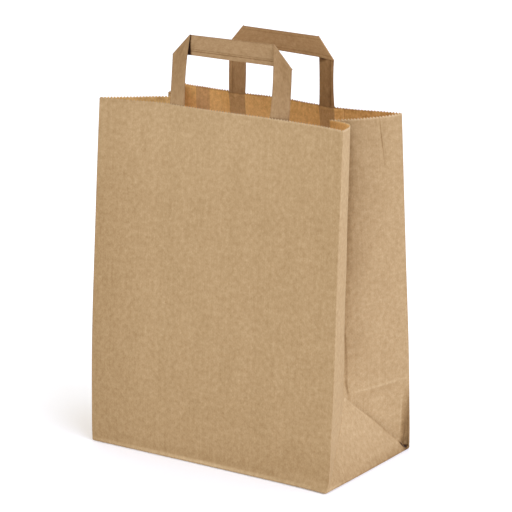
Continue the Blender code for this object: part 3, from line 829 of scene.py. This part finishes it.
def folded_tape(name, material):
    """One handle as a single strip: up a leg, over the fold, along the bar and down again."""
    profile = np.array(PLAIN_FACE + PLY_FACE)
    across_share = profile[:, 0] / profile[0:len(PLAIN_FACE), 0].max()
    inward = np.array([0.0, 1.0 if HANDLE_EDGES[name]["wall"] == "front" else -1.0, 0.0])
    face_sign = -inward[1]
    legs = {
        side: leg_surface(name, side, LEG_SHARES, across_share) for side in ("left", "right")}

    def roll(leg):
        """The fold itself, from the leg's plane to the bar's plane behind it."""
        fold = leg[-1]
        line = fold[len(PLAIN_FACE) - 1] - fold[0]
        line /= np.linalg.norm(line)
        rise = leg[-1].mean(0) - leg[-3].mean(0)
        out = rise - line * rise.dot(line)
        out /= np.linalg.norm(out)
        turns = [math.pi * (step + 1) / ROLL_STEPS for step in range(ROLL_STEPS)]
        return np.array([
            fold + FOLD_RADIUS * (math.sin(turn) * out + (1 - math.cos(turn)) * inward)
            for turn in turns])

    left_roll, right_roll = roll(legs["left"]), roll(legs["right"])
    shares = np.array([(step + 1) / BAR_STEPS for step in range(BAR_STEPS - 1)])
    bar = mixed(left_roll[-1][None], right_roll[-1][None],
                np.broadcast_to(shares[:, None], (len(shares), len(profile))))
    straightened = step_up(shares, 0, BAR_LIFT_SHARE) * step_up(1 - shares, 0, BAR_LIFT_SHARE)
    bar[..., 2] += (straightened[:, None] * (1 - across_share)[None]) * BAR_LIFT_MM * MM
    strip = np.concatenate(
        [legs["left"], left_roll, bar, right_roll[::-1], legs["right"][::-1]])
    width = len(PLAIN_FACE)
    along = np.gradient(strip, axis=0)
    across = np.repeat((strip[:, width - 1] - strip[:, 0])[:, None], len(profile), axis=1)
    normal = np.cross(along, across)
    normal /= np.linalg.norm(normal, axis=-1, keepdims=True)
    surface = strip + normal * (face_sign * profile[:, 1] * MM)[None, :, None]
    count = len(profile)
    vertices = list(surface.reshape(-1, 3))
    run = np.linspace(0, TAPE_RUN, len(strip))
    face_place = np.where(np.arange(count) < width, 0.0, PLY_FACE_PLACE)
    face_place = face_place + across_share * TAPE_WIDTH
    places = [(face_place[n], at) for at in run for n in range(count)]
    faces = []
    for row in range(len(strip) - 1):
        for n in range(count):
            following = (n + 1) % count
            a, b = row * count + n, row * count + following
            faces.append((a, b, b + count, a + count))
    faces.append(tuple(reversed(range(count))))
    last = (len(strip) - 1) * count
    faces.append(tuple(last + n for n in range(count)))
    tape = mesh_piece(name + "_tape", vertices, faces, places, [material])
    shape = bmesh.new()
    shape.from_mesh(tape.data)
    bmesh.ops.recalc_face_normals(shape, faces=shape.faces)
    shape.to_mesh(tape.data)
    shape.free()
    tape.data.set_sharp_from_angle(angle=math.radians(SHARP_FROM))
    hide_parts(name)
    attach(tape, "root")


# Marks on the tape: both ends of the line as its place across the tape and along it, its half
# width and how much lighter or darker it is. Those that run the tape's whole length are its ends
LONG_BEFORE, LONG_PAST = -300, 600
TAPE_MARKS = [
    (place, LONG_BEFORE, place, LONG_PAST, half_width, amount)
    for place, half_width, amount in (
        (43.7, 0.75, -0.40),  # where the last ply ends, on the ply face
        (45.2, 0.75, -0.16),  # its scored line
        (0.2, 0.8, -0.18),  # the tape's folded edges
        (17.1, 0.8, -0.18),
        (57.1, 0.8, -0.18))]
FRONT_TAPE_MARKS = TAPE_MARKS + [
    (61.5, 93.0, 34.5, 113.0, 1.9, -2.1),  # deep shade between the left leg and the bar behind it
    (57.8, 184.0, 39.5, 168.4, 0.9, -0.20),  # and a little at the right one
    (8.6, 30.0, 8.6, 90.0, 16.0, -0.21),  # the legs' plain faces are a little duller
    (8.6, 190.0, 8.6, 250.0, 16.0, -0.18),
]
REAR_TAPE_MARKS = TAPE_MARKS + [
    (2.8, LONG_BEFORE, 2.8, LONG_PAST, 0.8, -0.20),  # lines rolled along the plain face
    (14.6, LONG_BEFORE, 14.6, LONG_PAST, 0.8, -0.16),
    (48.6, LONG_BEFORE, 48.6, LONG_PAST, 26, -0.12),  # painted shade on the faces towards the dark inside
    (48.6, 195, 48.6, 300, 26, -0.20),
    (60.0, 231.3, 37.3, 212.4, 2.0, -0.85),  # shade under the bar, on the legs behind it
    (60.0, 50.8, 37.3, 69.8, 1.4, -0.45),
]
# Rolled kraft tape: denser and browner than the bag, and a little smoother from the rollers
TAPE_ROUGHNESS = 0.80
front_tape_paper = kraft_paper(
    "rolled_kraft_tape_front", "9A7B55", TAPE_ROUGHNESS, FRONT_TAPE_MARKS)
# The rear tape's copy is browner, painted for the dimmer, warmer light inside the bag
rear_tape_paper = kraft_paper(
    "rolled_kraft_tape_rear", "9E7A50", TAPE_ROUGHNESS, REAR_TAPE_MARKS)
folded_tape("front_handle", front_tape_paper)
folded_tape("rear_handle", rear_tape_paper)


# The patches. A rectangle of the same kraft paper is glued over both ends of each tape, inside
# the wall, so that the handle can't tear out. It rises where a leg runs under it.
PATCH_HALF_WIDTH, PATCH_BELOW_RIM, PATCH_PAST_TAPE = 0.070, 0.0012, 0.008
PATCH_CLEARANCE, PATCH_RAMP, PATCH_THICKNESS = 0.00022, 0.0035, 0.00015
PATCH_OVER_TAPE = TAPE_CLEARANCE + 2.4 * TAPE_HALF_PLY  # how far a leg lifts the patch
PATCH_COLUMNS, PATCH_ROWS = 71, 22
LEG_SHADE_THROUGH_PATCH = "C49C69"  # the patch's colour over a leg: painted shade where the leg blocks the light through it


def sheet_grid(row_total, column_total):
    """The faces of a sheet whose points run row by row."""
    return [
        (first, first + 1, first + column_total + 1, first + column_total)
        for row in range(row_total - 1)
        for first in range(row * column_total, (row + 1) * column_total - 1)]


def handle_patch(name, centre_x):
    """The patch over both legs of a handle, with its middle at a place along the rim."""
    facts = HANDLE_EDGES[name]
    wall_name = facts["wall"]
    middle = sheet_across(wall_name, centre_x * MM)
    across = np.linspace(middle - PATCH_HALF_WIDTH, middle + PATCH_HALF_WIDTH, PATCH_COLUMNS)
    lowest = WALL_HEIGHT - TAPE_BELOW_RIM - PATCH_PAST_TAPE
    up = np.linspace(lowest, WALL_HEIGHT - PATCH_BELOW_RIM, PATCH_ROWS)
    across_grid, up_patch = np.meshgrid(across, up)
    depth = WALL_HEIGHT - up_patch
    lift = np.zeros_like(depth)
    start = 0.0 if wall_name == "front" else BAG_WIDTH + BAG_DEPTH
    bands = []
    for side in ("left", "right"):
        ends = []
        for edge in ("outer", "inner"):
            rim_x, stand_off = facts[side][edge][:2]
            ends.append((sheet_across(wall_name, rim_x * MM), stand_off * MM))
        (low, low_off), (high, high_off) = sorted(ends)
        bands.append(((start + (low + high) / 2) / MM, (high - low) / 2 / MM,
                      (WALL_HEIGHT - TAPE_BELOW_RIM) / MM, LEG_SHADE_THROUGH_PATCH))
        share = np.clip((across_grid - low) / (high - low), 0, 1)
        off = low_off + (high_off - low_off) * share
        off = off * np.clip(1 - depth / STAND_OFF_REACH, 0, 1) ** 2
        cover = step_up(across_grid, low - PATCH_RAMP, low)
        cover = cover * (1 - step_up(across_grid, high, high + PATCH_RAMP))
        cover = cover * (1 - step_up(depth, TAPE_BELOW_RIM, TAPE_BELOW_RIM + PATCH_RAMP))
        lift += cover * (off + PATCH_OVER_TAPE)
    surface = inner_face(wall_name, across_grid, up_patch, PATCH_CLEARANCE + lift)
    faces = sheet_grid(PATCH_ROWS, PATCH_COLUMNS)
    places = list(zip((start + across_grid).ravel(), up_patch.ravel()))
    # The patch paper: thin kraft, painted golden like the wall, and browner with painted shade where
    # the tape runs under it
    paper = kraft_paper(
        name + "_patch_kraft", KRAFT_WITH_PAINTED_BACKLIGHT, KRAFT_ROUGHNESS, INSIDE_PAINTED_LIGHT_AND_SHADE, bands, 1.1)
    patch = mesh_piece(name + "_patch_paper", surface.reshape(-1, 3), faces, places, [paper])
    thicken(patch, PATCH_THICKNESS)
    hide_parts(name + "_patch")
    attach(patch, "root")


FRONT_PATCH_X_MM, REAR_PATCH_X_MM = 0.0, 10.5
handle_patch("front_handle", FRONT_PATCH_X_MM)
handle_patch("rear_handle", REAR_PATCH_X_MM)


# The block bottom. The front and rear walls' lower ends are folded in as two flaps, with their
# corners cut back at 45 degrees over the tucked sides, and glued one on the other.
FLAP_OVERLAP, FLAP_THICKNESS = 0.024, 0.00013
FLAP_SETBACK, FLAP_SLOPE = 0.0012, 0.004  # from the bottom fold: where a flap shows, and lies down
FLAP_FLAT_FROM, FLAP_SIDE_SETBACK = 0.012, 0.0004
FLAP_ROWS, FLAP_COLUMNS = 8, 41
FLAP_TOP = STAND - 0.00002  # just under the sheet's floor
FRONT_FLAP_HEIGHT, REAR_FLAP_HEIGHT = 0.00015, 0.0


def bottom_flap(name, end, height, material):
    """end is -1 for the front flap, 1 for the rear one; height is that of its lower face."""
    flat_reach = np.linspace(FLAP_FLAT_FROM, HALF_SIDE + FLAP_OVERLAP / 2, FLAP_ROWS)
    reach = np.array([FLAP_SETBACK, FLAP_SLOPE, *flat_reach])
    share = np.linspace(-1, 1, FLAP_COLUMNS)
    half = BAG_WIDTH / 2 - reach - FLAP_SIDE_SETBACK
    drop = step_up(reach, FLAP_SETBACK, FLAP_SLOPE)
    lower = FLAP_TOP - drop * (FLAP_TOP - height)
    x = half[:, None] * share[None]
    y = np.broadcast_to((end * (HALF_SIDE - reach))[:, None], x.shape)
    z = np.broadcast_to(lower[:, None], x.shape)
    faces = sheet_grid(len(reach), len(share))
    if end < 0:
        faces = [tuple(reversed(face)) for face in faces]
    places = [(px, WALL_HEIGHT + py) for px, py in zip(x.ravel(), y.ravel())]
    flap = mesh_piece(name, points(x, y, z).reshape(-1, 3), faces, places, [material])
    thicken(flap, FLAP_THICKNESS)
    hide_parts("bag_body")
    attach(flap, "root")


bottom_flap("front_bottom_flap", -1, FRONT_FLAP_HEIGHT, kraft_outside)
bottom_flap("rear_bottom_flap", 1, REAR_FLAP_HEIGHT, kraft_outside)


# The lap seam. The web's two edges overlap by 16 mm near one corner of the rear wall, and a
# line of glue holds them. Outside, the upper ply ends in a straight cut edge.
SEAM_WIDTH, SEAM_TO_CORNER = 0.016, 0.025
SEAM_LIFT, SEAM_THICKNESS = 0.00016, 0.00012
# Shares of that lift: the ply's first edge dips under the sheet, and its cut edge stands free.
# It rises from a little before its first edge, over three half teeth
SEAM_HIDDEN_SHARE, SEAM_RAISED_SHARE = 0.2, 1.1
SEAM_RISE_BEFORE, SEAM_RISE_HALF_TEETH = 0.001, 3
SEAM_LOW_ROWS, SEAM_FROM, SEAM_BELOW_RIM, SEAM_ROWS = [0.004, 0.008], 0.012, 0.003, 64


def lap_seam(material):
    """The outer ply of the seam, from its hidden first edge to its cut edge."""
    start = BAG_WIDTH + BAG_DEPTH + BAG_WIDTH - SEAM_TO_CORNER - SEAM_WIDTH
    first = round(start / HALF_TOOTH)
    around = np.arange(first, first + round(SEAM_WIDTH / HALF_TOOTH) + 1) * HALF_TOOTH
    upper = np.linspace(SEAM_FROM, WALL_HEIGHT - SEAM_BELOW_RIM, SEAM_ROWS)
    up = np.concatenate([SEAM_LOW_ROWS, upper])
    around_seam, up_seam = np.meshgrid(around, up)
    around_seam = np.vstack([around_seam, around])
    up_seam = np.vstack([up_seam, rim_height(around)])
    rise = step_up(around_seam, around[0] - SEAM_RISE_BEFORE, around[SEAM_RISE_HALF_TEETH])
    lift = (SEAM_HIDDEN_SHARE + SEAM_RAISED_SHARE) * rise - SEAM_HIDDEN_SHARE
    surface = bag_sheet_surface(around_seam, up_seam)
    surface = surface + outward_normals(around_seam, up_seam) * (SEAM_LIFT * lift)[..., None]
    faces = sheet_grid(len(up_seam), len(around))
    places = list(zip(around_seam.ravel(), up_seam.ravel()))
    seam = mesh_piece("lap_seam_ply", surface.reshape(-1, 3), faces, places, [material])
    thicken(seam, SEAM_THICKNESS)
    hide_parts("bag_body")
    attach(seam, "root")


lap_seam(kraft_outside)


# Studio. A plain pale floor that glows a little, like a light table, a white sky and three broad
# soft lights, none of it part of the bag.
FLOOR_SIZE, FLOOR_HEIGHT, FLOOR_GLOW, SKY_STRENGTH = 40.0, -0.0002, 0.11, 0.86
floor_material = bpy.data.materials.new("pale_studio_floor")
floor_material.use_nodes = True
floor_shader = floor_material.node_tree.nodes["Principled BSDF"]
floor_shader.inputs["Base Color"].default_value = linear("FCFBFA")
floor_shader.inputs["Roughness"].default_value = 0.9
floor_shader.inputs["Emission Color"].default_value = (1, 1, 1, 1)
floor_shader.inputs["Emission Strength"].default_value = FLOOR_GLOW
bpy.ops.mesh.primitive_plane_add(size=FLOOR_SIZE, location=(0, 0, FLOOR_HEIGHT))
floor = bpy.context.object
floor.name = "studio_floor"
floor.data.materials.append(floor_material)

sky = bpy.data.worlds.new("studio_sky")
bpy.context.scene.world = sky
sky.use_nodes = True
sky.node_tree.nodes["Background"].inputs["Color"].default_value = (1, 1, 1, 1)
sky.node_tree.nodes["Background"].inputs["Strength"].default_value = SKY_STRENGTH


def soft_sun(name, towards, angle, strength, colour):
    """A broad soft light that comes from a direction given from the bag."""
    lamp = bpy.data.lights.new(name, "SUN")
    lamp.angle, lamp.energy, lamp.color = math.radians(angle), strength, colour
    holder = bpy.data.objects.new(name, lamp)
    holder.rotation_mode = "QUATERNION"
    holder.rotation_quaternion = (-Vector(towards)).to_track_quat("-Z", "Y")
    bpy.context.scene.collection.objects.link(holder)


soft_sun("key_light", (0.87, -0.25, 0.42), 50, 1.66, (0.89, 0.99, 1.36))
soft_sun("edge_light", (0.68, 0.68, 0.28), 50, 0.85, (0.90, 1.0, 1.28))
soft_sun("fill_light", (-0.60, -0.78, 0.20), 40, 0.60, (1.0, 1.0, 1.0))
bpy.context.scene.view_settings.view_transform = "Standard"
